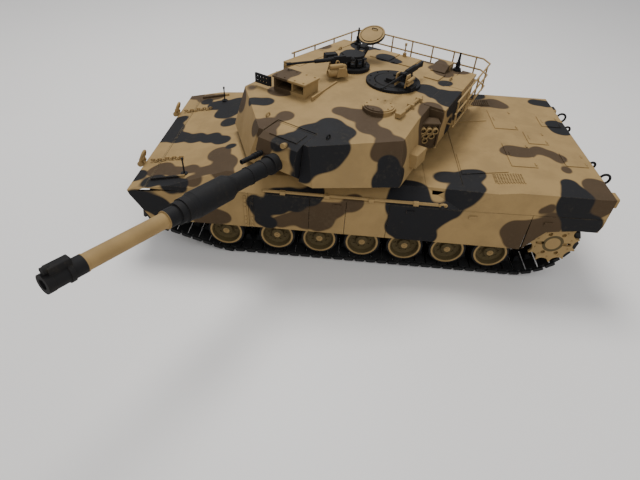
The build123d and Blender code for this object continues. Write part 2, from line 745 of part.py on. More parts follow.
def roof_details():
    """Strips, tool rod, sensor block and hatches moulded on the roof."""
    strip = slab_xy([(48, -16), (48, -18), (-6, -22), (-6, -20)], 146, 152.6)
    tool = rod((28, 73, 153.4), (-28, 72, 153.4), 1.7)
    clamps = [block((x - 2, x + 2), (69.5, 76), (149, 155.4)) for x in (20, 0, -20)]
    head = block((22, 30), (70, 76), (151, 155.6))
    wedge = slab_xz([(-112, 150), (-112, 152.4), (-122, 158.0), (-139, 158.0), (-139, 150)], 45, 63)
    lid = block((-108, -86), (48, 66), (150, 152.2))
    ammo_doors = [block((-136, -104), (y, y + 26), (150, 152)) for y in (-34, -4)]
    eyes = []
    for x, y in ((96, 36), (96, -36), (-100, 76), (-100, -76)):
        eyes.append(Pos(x, y, roof_at(x) + 0.5) * Rot(90, 0, 0) * Torus(2.6, 0.8))
    sensor = fuse([disc(-132, 0, 150, 156, 2.4), disc(-132, 0, 155.8, 166, 0.8), disc(-132, 0, 165, 168, 1.5)])
    return [strip, tool, head, wedge, lid, sensor] + clamps + ammo_doors + eyes


def mantlet_slot():
    drum = rod((trunnion_x, -23.6, trunnion_height), (trunnion_x, 23.6, trunnion_height), mantlet_radius + 0.6)
    return [drum, block((trunnion_x, 150), (-23.6, 23.6), (95, 160))]


def turret_shell():
    shell = fuse([turret_block(0), blanking_cover()] + roof_details())
    hollow = turret_block(3.0)
    ring_hole = disc(0, 0, 100, 112, 48.5)
    front_seat = block((64, 150), (-26.2, 26.2), (100, 147))
    hollow = hollow - front_seat
    return [shell - [hollow, ring_hole] - mantlet_slot()]


def turret_ring():
    """The turning ring under the turret: a collar in the hull's opening, lugs and a gear."""
    middle = 60.0
    collar = disc(0, 0, 94.0, turret_floor, ring_radius) - disc(0, 0, 90, 110, middle)
    web = disc(0, 0, 97.4, turret_floor, middle + 0.5) - disc(0, 0, 95, 110, 48.5)
    gear = Pos(0, 0, 89.4) * toothed_ring(ring_teeth, gear_pitch_radius, True, 8.2, 54.0)
    skirt = disc(0, 0, 90.4, 97.6, 54.0) - disc(0, 0, 89, 99, 52.0)
    lugs = []
    for angle in (30, 150, 270):
        lug = block((56, 67.5), (-6, 6), (91.2, 94.2))
        lugs.append(Rot(0, 0, angle) * lug)
    arms = []
    for angle in (30, 150, 270):
        arms.append(Rot(0, 0, angle) * block((52.5, 61), (-6, 6), (91.2, 98)))
    return [fuse([collar, web, gear, skirt] + lugs + arms)]


def gun_mantlet():
    """The rotor that closes the turret's front and carries the gun."""
    x, z = trunnion_x, trunnion_height
    rotor = rod((x, -mantlet_half_width, z), (x, mantlet_half_width, z), mantlet_radius)
    rotor = rotor & block((x - 40, x + 2), (-40, 40), (108.0, 160))
    front = [(x - 2, z + 25.4), (119, 141.6), (127, 138.2), (131.5, 127), (130, 113), (124, 108), (x - 2, 108)]
    body = slab_xz(front, -mantlet_half_width, mantlet_half_width)
    panel = slab_xz([(103, 140), (103, 143.5), (120, 142.3), (120, 140)], -15, 17)
    lamp = rod((124, 8.5, 139.6), (130.5, 8.5, 140.6), 2.6)
    mantlet = fuse([rotor, body, panel, lamp])
    mantlet = mantlet - rod((x, -30, z), (x, 30, z), 3.06)
    gun_seat = tilt_up(rod((100, 0, z), (140, 0, z), 9.0))
    coax_seat = tilt_up(rod((110, -16, z + 4.6), (140, -16, z + 4.6), 2.5))
    return [mantlet - [gun_seat, coax_seat]]


def tilt_up(shape):
    """Turns a piece drawn on a level gun to the gun's elevation at rest."""
    axis = Axis((trunnion_x, 0, trunnion_height), (0, 1, 0))
    return shape.rotate(axis, -elevation_at_rest)


def gun_barrel():
    z = trunnion_height
    bands = [(100, 139, 9.0), (138, 141, 9.6), (140, 193, 7.9), (150, 152, 8.5), (168, 170, 8.5),
             (240, 246, 10.2), (245, 252, 9.2), (251, 263, 7.5), (262, 330, 6.2), (329, gun_muzzle_x, 6.7),
             (339, 342, 7.6), (352, gun_muzzle_x, 7.0)]
    pieces = [rod((start, 0, z), (end, 0, z), radius) for start, end, radius in bands]
    pieces.append(cone((190, 0, z), (198, 0, z), 8.2, 11.4))
    pieces.append(rod((197.5, 0, z), (235, 0, z), 11.4))
    pieces.append(cone((234.5, 0, z), (241, 0, z), 11.4, 9.8))
    sensor = block((338, 353), (-3.4, 3.4), (z + 4, z + 11.2))
    collimator = rod((351, 0, z + 9.4), (355.5, 0, z + 9.4), 2.6)
    pieces += [fillet(sensor.edges().filter_by(Axis.X), 1.2), collimator]
    barrel = fuse(pieces) - rod((330, 0, z), (360, 0, z), 3.75)
    return [tilt_up(barrel)]


def coax_gun():
    z = trunnion_height + 4.6
    parts = [rod((111, -16, z), (131, -16, z), 2.44), rod((130, -16, z), (160, -16, z), 2.3)]
    parts += [rod((x, -16, z), (x + 1.6, -16, z), 2.9) for x in (134, 138, 142)]
    return [tilt_up(fuse(parts) - rod((150, -16, z), (162, -16, z), 1.2))]


def on_roof(shape):
    """Fits a fixed piece to the turret's roof."""
    return shape - turret_block(0)


def gunner_sight():
    """The gunner's sight box with its bolted lid and two windows at the front."""
    box = block((25, 49), (-66, -25), (145, 162.6))
    room = block((29, 52), (-63.6, -27.4), (152, 160.6))
    wall_between = block((28.5, 47), (-44, -42.4), (150, 161))
    lid = block((23.6, 51.4), (-67.2, -23.8), (162.4, 164.2))
    lid = fillet(lid.edges().filter_by(Axis.Z), 1.2)
    bolts = [disc(x, y, 164.0, 165.0, 0.9) for x in (27, 48) for y in (-63, -52, -39, -28)]
    return [on_roof(fuse([box - room, wall_between, lid] + bolts))]


def gunner_sight_door():
    """The armoured door of the sight, held open at its outer side, with drilled holes."""
    x, y = sight_door_x, sight_door_y
    door = block((x, x + 1.8), (y - 20, y - 1), (151.6, 162.0))
    holes = [rod((x - 1, y - out, z), (x + 3, y - out, z), 1.1) for out in (5, 9, 13, 17) for z in (154.4, 158.8)]
    pin = disc(x, y, 151.6, 162.0, 1.1)
    leaf = block((x, x + 1.5), (y - 2, y), (152.6, 161.0))
    return [fuse([door - holes, leaf, pin])]


def commander_cupola():
    """The turning weapon station: base ring, drum and periscopes."""
    base = disc(cupola_x, cupola_y, 151.3, 156.0, 20.5)
    base = chamfer(base.edges().sort_by(Axis.Z)[-1], 1.2)
    drum = disc(cupola_x, cupola_y, 155.8, 168.0, 13.0)
    blocks = []
    for step in range(7):
        turn = Rot(0, 0, -90 + 30 * step)
        piece = block((11.4, 16.4), (-3.0, 3.0), (157.4, 165.6)) - block((15.6, 17), (-2.3, 2.3), (160.4, 164.4))
        blocks.append(Pos(cupola_x, cupola_y, 0) * turn * piece)
    bolts = []
    for step in range(12):
        angle = radians(30 * step)
        bolts.append(disc(cupola_x + 18 * cos(angle), cupola_y + 18 * sin(angle), 155.8, 156.8, 0.8))
    lugs = []
    for y in (-5.4, 5.4):
        lug = slab_xz([(-69, 160), (-66, 160), (-66, 167.4), (-74, 167.4), (-75.4, 172), (-79.4, 172), (-80, 168)],
                      cupola_y + y - 1.4, cupola_y + y + 1.4)
        lugs.append(lug)
    pin = rod((hatch_hinge_x, cupola_y - 6.8, hatch_hinge_z), (hatch_hinge_x, cupola_y + 6.8, hatch_hinge_z), 1.2)
    return [fuse([base, drum, pin] + blocks + bolts + lugs)]




def commander_hatch():
    """The commander's lid, drawn shut on the drum and then swung back open."""
    lid = disc(cupola_x, cupola_y, 168.4, 171.6, 16.0)
    skin = disc(cupola_x, cupola_y, 171.5, 173.0, 14.6)
    x, z = hatch_hinge_x, hatch_hinge_z
    arm = block((x, -62), (cupola_y - 3.6, cupola_y + 3.6), (168.8, 171.4))
    knuckle = rod((x, cupola_y - 3.6, z), (x, cupola_y + 3.6, z), 2.3)
    hole = rod((x, cupola_y - 8, z), (x, cupola_y + 8, z), 1.2 + running_fit)
    hatch = fuse([lid, skin, arm, knuckle]) - hole
    axis = Axis((x, 0, z), (0, 1, 0))
    return [hatch.rotate(axis, -hatch_open_angle)]


gun_heading = -33.0
cradle_x, cradle_y, cradle_z = -20.0, -32.0, 168.0


def aim(shape):
    """Turns the commander's gun, drawn along +X at the origin, to its place."""
    return Pos(cradle_x, cradle_y, cradle_z) * Rot(0, 0, gun_heading) * shape


def commander_gun_mount():
    """The bracket in front of the cupola and the yoke that holds the gun."""
    foot = disc(cradle_x - 4, cradle_y, 151.3, 153.6, 8.6)
    column = disc(cradle_x - 2, cradle_y, 153.4, 161.5, 4.4)
    drum = rod((cradle_x - 14, cradle_y + 3, 158.6), (cradle_x + 3, cradle_y + 3, 158.6), 3.4)
    tie = block((-37.5, cradle_x - 4), (cradle_y - 3, cradle_y + 3), (152.0, 155.0))
    yoke = [block((-4, 4), (-4.6, 4.6), (-8.4, -4.6))]
    for y in (-4.6, 3.0):
        side = slab_xz([(-4.5, -8.0), (4.5, -8.0), (2.2, 0), (-2.2, 0)], y, y + 1.6)
        side = fuse([side, rod((0, y, 0), (0, y + 1.6, 0), 2.25)])
        yoke.append(side - rod((0, y - 1, 0), (0, y + 3, 0), 1.2 + running_fit))
    yoke = [aim(piece) for piece in solids_of(yoke)]
    base = disc(cupola_x, cupola_y, 150, 156.2, 20.6)
    return [fuse([foot, column, drum, tie] + yoke) - base]


def heavy_gun():
    """The commander's gun along +X with its trunnion at the origin."""
    receiver = block((-17, 6), (-2.3, 2.3), (-1.6, 4.4))
    pin = rod((0, -4.4, 0), (0, 4.4, 0), 1.2)
    jacket = rod((5.5, 0, 2.2), (26, 0, 2.2), 2.1)
    barrel = rod((25, 0, 2.2), (57, 0, 2.2), 1.25)
    brake = rod((54, 0, 2.2), (58.5, 0, 2.2), 1.7)
    grips = [rod((-16.5, y, 1.2), (-21.5, y, 1.2), 0.8) for y in (-1.8, 1.8)]
    bar = block((-21.8, -20.6), (-2.6, 2.6), (0.4, 2.0))
    cover = block((-11, 3), (-1.9, 1.9), (4.2, 5.4))
    tray = block((-3.0, 9.0), (-12.4, -2.1), (2.6, 3.8))
    box = block((-4.0, 10.0), (-13.4, -5.4), (-1.8, 6.0))
    return fuse([receiver, pin, jacket, barrel, brake, bar, cover, tray, box] + grips)


def commander_gun():
    return [aim(heavy_gun())]


def loader_ring():
    """The loader's skate ring with the carriage that holds the machine gun."""
    ring = disc(loader_x, loader_y, 151.3, 154.0, 30.5) - disc(loader_x, loader_y, 151, 155, 21.2)
    ring = chamfer(ring.edges().filter_by(GeomType.CIRCLE).sort_by(Axis.Z)[-1], 0.5)
    stops = []
    for step in range(12):
        angle = radians(30 * step + 10)
        x, y = loader_x + 26.6 * cos(angle), loader_y + 26.6 * sin(angle)
        stops.append(disc(x, y, 153.8, 154.8, 0.9))
    carriage = block((-44, -32), (49.6, 57.5), (153.8, 157.0))
    posts = [rod((-38, 50, 156), (-38, 45, 161.5), 1.4), rod((-42, 53, 156), (-40, 46, 161.5), 1.0),
             rod((-34, 53, 156), (-36, 46, 161.5), 1.0)]
    cradle = block((-43, -33), (39.8, 48.2), (160.6, 162.2))
    cheeks = [block((-40.5, -35.5), (y, y + 1.4), (161.8, 168.2)) for y in (39.8, 46.8)]
    hole = rod((-38, 36, 166), (-38, 52, 166), 1.0 + running_fit)
    return [fuse([ring, carriage, cradle] + stops + posts + cheeks) - hole]


def loader_hatch():
    lid = disc(loader_x, loader_y, 151.0, 154.4, 20.6)
    lid = chamfer(lid.edges().sort_by(Axis.Z)[-1], 0.8)
    crown = disc(loader_x + 4, loader_y, 154.2, 156.0, 8.0)
    periscope = block((-44, -36), (24, 32), (155.6, 159.0))
    handle = block((-60, -58.6), (22, 34), (154.2, 156.0))
    return [fuse([lid, crown, periscope, handle])]


def loader_gun():
    """The loader's machine gun along +X, held in the cradle by a cross pin."""
    pin = rod((-38, 40.2, 166), (-38, 47.8, 166), 1.0)
    receiver = block((-70, -34), (42.0, 46.0), (164.6, 169.4))
    cover = block((-62, -42), (42.5, 45.5), (169.2, 170.6))
    barrel = rod((-34.5, 44, 167.4), (12, 44, 167.4), 0.95)
    gas = rod((-34.5, 44, 165.4), (-12, 44, 165.4), 0.8)
    front = block((-13.6, -11.4), (43.2, 44.8), (164.8, 168.2))
    flash = rod((8, 44, 167.4), (14, 44, 167.4), 1.3)
    stock = slab_xz([(-69.5, 165.2), (-69.5, 168.8), (-84, 169.6), (-84, 163.4)], 42.7, 45.3)
    grip = slab_xz([(-58, 165), (-54, 165), (-56, 158.6), (-60, 158.6)], 43.0, 45.0)
    return [fuse([pin, receiver, cover, barrel, gas, front, flash, stock, grip])]


def rack_rail(z):
    """One rail round the bustle: along the left side, across the rear, along the right."""
    points = [(-40, 108.5), (-176, 96.5), (-188, 84), (-188, -84), (-176, -96.5), (-40, -108.5)]
    rails = []
    for start, end in zip(points, points[1:]):
        rails.append(rod((*start, z), (*end, z), 1.0))
    rails += [Pos(x, y, z) * Sphere(1.0) for x, y in points]
    return rails


def bustle_rack():
    """Rails, posts and a slatted floor behind the turret."""
    tiers = (126.0, 140.0, 154.0)
    parts = []
    for z in tiers:
        parts += rack_rail(z)
    posts = [(-188, y) for y in (-75, -45, -15, 15, 45, 75)]
    for x in (-44, -84, -124, -164):
        y = 108.5 - (x + 40) / -136 * 12
        posts += [(x, y), (x, -y)]
    for x, y in posts:
        parts.append(disc(x, y, tiers[0] - 2, tiers[2] + 1.0, 0.95))
    for y in (-78, -52, -26, 0, 26, 52, 78):
        parts.append(block((-188.6, -141), (y - 2.5, y + 2.5), (124.2, 125.6)))
    for x in (-186, -172, -158):
        parts.append(block((x - 1.5, x + 1.5), (-82.5, 82.5), (124.2, 125.6)))
    for x in (-44, -84, -124):
        y = 108.5 - (x + 40) / -136 * 12
        for side in (1, -1):
            parts.append(rod((x, side * y, 126), (x, side * (y - 9), 126), 0.95))
    return [fuse(parts) - [turret_block(0)] - bin_forms()]


def bin_forms():
    """Outer form of the stowage bin on each side of the turret."""
    outline = [(-16, 80), (-16, 103.5), (-138, 92.6), (-138, 76)]
    return both(slab_xy(outline, 113, 149))


def stowage_bins():
    """Side bins with separate lids, and the small locker behind each cheek."""
    bins = []
    outline = [(-17.2, 80), (-17.2, 104.4), (-138, 93.6), (-138, 76)]
    lid = slab_xy(outline, 149.0, 151.4)
    groove = block((-80.4, -79.6), (80, 110), (150.8, 152))
    locker = block((22, 44), (90, 106.6), (112, 127))
    locker = fillet(locker.edges().filter_by(Axis.Y), 0.9)
    for form in bin_forms():
        bins.append(on_roof(form))
    for piece in both(lid - groove) + both(locker):
        bins.append(on_roof(piece))
    return bins


def smoke_launchers():
    """A boxed cluster of eight discharger tubes on each side, aimed forward and out."""
    rows = ((4, 0), (3, 5.4), (1, 10.8))
    housing = block((-15, -1), (-14.5, 14.5), (-14, 14)) - block((-3.2, 0), (-12.8, 12.8), (-12.5, 12.5))
    tubes = []
    for count, drop in rows:
        for index in range(count):
            y = (index - (count - 1) / 2) * 6.2
            tube = rod((-4, y, 7 - drop), (1.5, y, 7 - drop), 2.9) - rod((-3, y, 7 - drop), (2, y, 7 - drop), 2.2)
            tubes.append(tube)
    cluster = fuse([housing] + tubes)
    cluster = Pos(4.0, 95.5, 128) * Rot(0, 0, 37) * cluster
    return both(cluster - [turret_block(0), bin_forms()[0]])


def antennas():
    """Two whip bases on the rear of the roof, with the short stub of each whip."""
    whips = []
    for x, y in ((-134.0, -70.0), (-134.0, 70.0)):
        foot = disc(x, y, 148, 153.6, 4.6)
        spring = disc(x, y, 153.4, 160.6, 2.6)
        stub = cone((x, y, 160.4), (x, y, 172), 1.8, 1.0)
        whips.append(on_roof(fuse([foot, spring, stub])))
    return whips


def elevation_servo():
    case = block((20, 44), (30, 42), (112, 134))
    ears = block((16, 48), (30.5, 41.5), (128, 130))
    foot = block((16, 48), (29, 43), (108.1, 112.2))
    hub = rod((26, 29.6, 126), (26, 26.5, 126), 4)
    horn = block((24, 28), (25, 27), (114, 128))
    return [fuse([case, ears, foot, hub, horn])]


# ---------------------------------------------------------------- files
for side_name, left in (("left", True), ("right", False)):
    for number, wheel_x in enumerate(wheel_xs, start=1):
        write(f"road_wheel_{side_name}_{number}", *place(wheel(wheel_radius), wheel_x, wheel_height, left))
    write(f"idler_wheel_{side_name}", *place(wheel(idler_radius), idler_x, idler_height, left))
    write(f"drive_sprocket_{side_name}", *place(sprocket(), sprocket_x, sprocket_height, left))
    write(f"track_{side_name}", *track(left))
    write(f"swing_arms_{side_name}", *swing_arms(left))
    write(f"skirt_panels_{side_name}", *skirt_panels(left))

write("lower_hull", lower_hull())
write("upper_hull", upper_hull())
write("engine_deck", *engine_deck())
write("driver_hatch", *driver_hatch())
write("fender_marker_rods", *marker_rods())
write("tow_shackles", *tow_shackles())
write("tow_cables", *tow_cables())
write("rear_light_pods", *rear_light_pods())
write("lifting_rings", *lifting_rings())
write("hull_screws", *hull_screws())
write("drive_gearboxes", *drive_gearboxes())
write("battery_pack", *battery_pack())
write("control_electronics", *control_electronics())
write("power_switch", *power_switch())
write("battery_door", *battery_door())
write("traverse_motor", *traverse_motor())
write("traverse_pinion", *traverse_pinion())

write_turret("turret_shell", *turret_shell())
write_turret("turret_ring", *turret_ring())
write_turret("gun_mantlet", *gun_mantlet())
write_turret("gun_barrel", *gun_barrel())
write_turret("coax_gun", *coax_gun())
write_turret("gunner_sight", *gunner_sight())
write_turret("gunner_sight_door", *gunner_sight_door())
write_turret("commander_cupola", *commander_cupola())
write_turret("commander_hatch", *commander_hatch())
write_turret("commander_gun_mount", *commander_gun_mount())
write_turret("commander_gun", *commander_gun())
write_turret("loader_ring", *loader_ring())
write_turret("loader_hatch", *loader_hatch())
write_turret("loader_gun", *loader_gun())
write_turret("bustle_rack", *bustle_rack())
write_turret("stowage_bins", *stowage_bins())
write_turret("smoke_launchers", *smoke_launchers())
write_turret("antennas", *antennas())
write_turret("elevation_servo", *elevation_servo())
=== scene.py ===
import json
import math

import bpy
from mathutils import Matrix, Vector


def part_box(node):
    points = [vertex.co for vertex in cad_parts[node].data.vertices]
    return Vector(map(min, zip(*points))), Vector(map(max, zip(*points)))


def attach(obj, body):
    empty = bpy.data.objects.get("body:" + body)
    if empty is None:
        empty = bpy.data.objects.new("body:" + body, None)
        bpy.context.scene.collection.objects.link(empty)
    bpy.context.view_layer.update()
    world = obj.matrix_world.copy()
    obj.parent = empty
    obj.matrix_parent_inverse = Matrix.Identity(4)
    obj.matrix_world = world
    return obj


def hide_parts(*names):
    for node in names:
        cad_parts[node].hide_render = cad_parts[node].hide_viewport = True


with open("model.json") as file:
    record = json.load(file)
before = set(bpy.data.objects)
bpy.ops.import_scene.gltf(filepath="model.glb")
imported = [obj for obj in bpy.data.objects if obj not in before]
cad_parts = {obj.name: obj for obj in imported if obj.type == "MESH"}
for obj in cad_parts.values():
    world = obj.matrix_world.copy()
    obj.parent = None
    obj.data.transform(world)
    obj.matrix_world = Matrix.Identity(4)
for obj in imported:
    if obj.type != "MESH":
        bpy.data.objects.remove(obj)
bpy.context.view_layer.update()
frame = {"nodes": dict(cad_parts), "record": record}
print("frame loaded:", len(frame["nodes"]), "nodes")


# camera, floor and lights

view = {
    "place": (0.0049, 0.4936, 0.3535),
    "ahead": (0.02641, -0.76060, -0.64868),
    "right": (-0.99597, -0.07566, 0.04816),
    "lens": 26.23,
}

studio = {
    "floorHalf": 3.0,
    "floorColour": (0.77, 0.745, 0.71),
    "keyPlace": (0.16, -0.45, 1.25),
    "keySize": 0.55,
    "keyPower": 14.5,
    "frontPlace": (-0.5, 1.3, 1.0),
    "frontSize": 1.4,
    "frontPower": 8.5,
    "worldStrength": 0.62,
}


def setCamera():
    lensData = bpy.data.cameras.new("camera")
    lensData.lens = view["lens"]
    lensData.sensor_width = 36.0
    lensData.clip_start = 0.01
    camera = bpy.data.objects.new("camera", lensData)
    bpy.context.collection.objects.link(camera)
    ahead = Vector(view["ahead"]).normalized()
    right = Vector(view["right"]).normalized()
    up = right.cross(ahead)
    turn = Matrix((right, up, -ahead)).transposed()
    camera.matrix_world = Matrix.Translation(view["place"]) @ turn.to_4x4()
    bpy.context.scene.camera = camera


def areaLight(name, place, size, power):
    lamp = bpy.data.lights.new(name, "AREA")
    lamp.size = size
    lamp.energy = power
    holder = bpy.data.objects.new(name, lamp)
    bpy.context.collection.objects.link(holder)
    holder.location = place
    holder.rotation_euler = (-Vector(place)).to_track_quat("-Z", "Y").to_euler()


setCamera()
areaLight("keyLight", studio["keyPlace"], studio["keySize"], studio["keyPower"])
areaLight("frontLight", studio["frontPlace"], studio["frontSize"], studio["frontPower"])
sky = bpy.data.worlds.new("softRoom")
sky.use_nodes = True
sky.node_tree.nodes["Background"].inputs[0].default_value = (0.93, 0.95, 1.0, 1)
sky.node_tree.nodes["Background"].inputs[1].default_value = studio["worldStrength"]
bpy.context.scene.world = sky
print("camera and lights placed")


# shader maths

class Wire:
    # one socket's value, for use in Python expressions
    def __init__(self, paint, socket):
        self.paint = paint
        self.socket = socket

    def maths(self, kind, *others):
        values = dict(enumerate((self,) + others))
        return self.paint.node("ShaderNodeMath", {"operation": kind}, values)

    def __add__(self, other):
        return self.maths("ADD", other)

    def __radd__(self, other):
        return self.maths("ADD", other)

    def __sub__(self, other):
        return self.maths("SUBTRACT", other)

    def __rsub__(self, other):
        return self.maths("MULTIPLY_ADD", -1.0, other)

    def __mul__(self, other):
        return self.maths("MULTIPLY", other)

    def __rmul__(self, other):
        return self.maths("MULTIPLY", other)

    def most(self, other):
        return self.maths("MAXIMUM", other)

    def least(self, other):
        return self.maths("MINIMUM", other)

    def blendMost(self, other, softness):
        return self.maths("SMOOTH_MAX", other, softness)


class Paint:
    # a material and the calls that fill its node tree
    def __init__(self, name, roughness=0.5, specular=0.16):
        self.material = bpy.data.materials.new(name)
        self.material.use_nodes = True
        self.tree = self.material.node_tree
        self.shader = self.tree.nodes["Principled BSDF"]
        self.shader.inputs["Roughness"].default_value = roughness
        self.shader.inputs["Specular IOR Level"].default_value = specular
        self.coords = self.node("ShaderNodeTexCoord", output="Object")

    def node(self, kind, settings=None, inputs=None, output=0):
        made = self.tree.nodes.new(kind)
        for key, value in (settings or {}).items():
            setattr(made, key, value)
        for key, value in (inputs or {}).items():
            if isinstance(value, Wire):
                self.tree.links.new(value.socket, made.inputs[key])
            else:
                made.inputs[key].default_value = value
        return Wire(self, made.outputs[output])

    def noise(self, scale, detail=2.0, rough=0.5, place=None):
        values = {"Vector": place or self.coords, "Scale": scale, "Detail": detail, "Roughness": rough}
        return self.node("ShaderNodeTexNoise", None, values)

    def step(self, value, low, high):
        values = {"Value": value, "From Min": low, "From Max": high}
        return self.node("ShaderNodeMapRange", {"interpolation_type": "SMOOTHSTEP"}, values)

    def mix(self, share, first, second):
        values = {0: share, 6: colour4(first), 7: colour4(second)}
        return self.node("ShaderNodeMix", {"data_type": "RGBA"}, values, 2)

    def vector(self, kind, first, second, output=0):
        return self.node("ShaderNodeVectorMath", {"operation": kind}, {0: first, 1: second}, output)

    def edges(self, radius):
        # bright along outer edges, from the angle between the flat and the rounded normal
        rounded = self.node("ShaderNodeBevel", {"samples": 4}, {"Radius": radius})
        flat = self.node("ShaderNodeNewGeometry", output="Normal")
        return 1.0 - self.vector("DOT_PRODUCT", rounded, flat, "Value")

    def bump(self, height, strength, distance, radius=0.0):
        values = {"Height": height, "Strength": strength, "Distance": distance}
        if radius:
            values["Normal"] = self.node("ShaderNodeBevel", {"samples": 4}, {"Radius": radius})
        self.feed("Normal", self.node("ShaderNodeBump", None, values))

    def feed(self, socket, value):
        self.tree.links.new(value.socket, self.shader.inputs[socket])


def colour4(value):
    return value if isinstance(value, Wire) else (*value, 1.0)


# finishes

coat = {
    "sand": (0.300, 0.197, 0.080),
    "brown": (0.066, 0.041, 0.020),
    "black": (0.0100, 0.0100, 0.0110),
    "worn": (0.42, 0.31, 0.16),
    "dust": (0.24, 0.19, 0.115),
    # dishShade: darker sand used as painted shade in sunken wheel dishes and sprocket hollows
    "dishShade": (0.085, 0.062, 0.026),
}


def weathered(paint, colour, wear=0.22, dust=0.10, edge=0.0006):
    # patchy shade, worn edges and a little dust over a paint colour
    patches = paint.noise(38.0, 4.0, 0.6)
    shade = paint.mix(paint.step(patches, 0.35, 0.68) * 0.16, colour, (0.02, 0.015, 0.01))
    speckle = paint.noise(260.0, 3.0, 0.7)
    dusty = paint.step(speckle * 0.5 + patches * 0.5, 0.52, 0.74) * dust
    dusted = paint.mix(dusty, shade, coat["dust"])
    rubbed = paint.step(paint.edges(edge), 0.03, 0.16) * paint.step(speckle, 0.36, 0.62) * wear
    paint.feed("Base Color", paint.mix(rubbed, dusted, coat["worn"]))
    paint.feed("Roughness", 0.58 + 0.22 * patches - 0.10 * rubbed)
    grain = paint.noise(1900.0, 2.0, 0.6)
    paint.bump(grain * 0.6 + speckle * 0.4, 0.16, 0.00025, edge * 0.7)


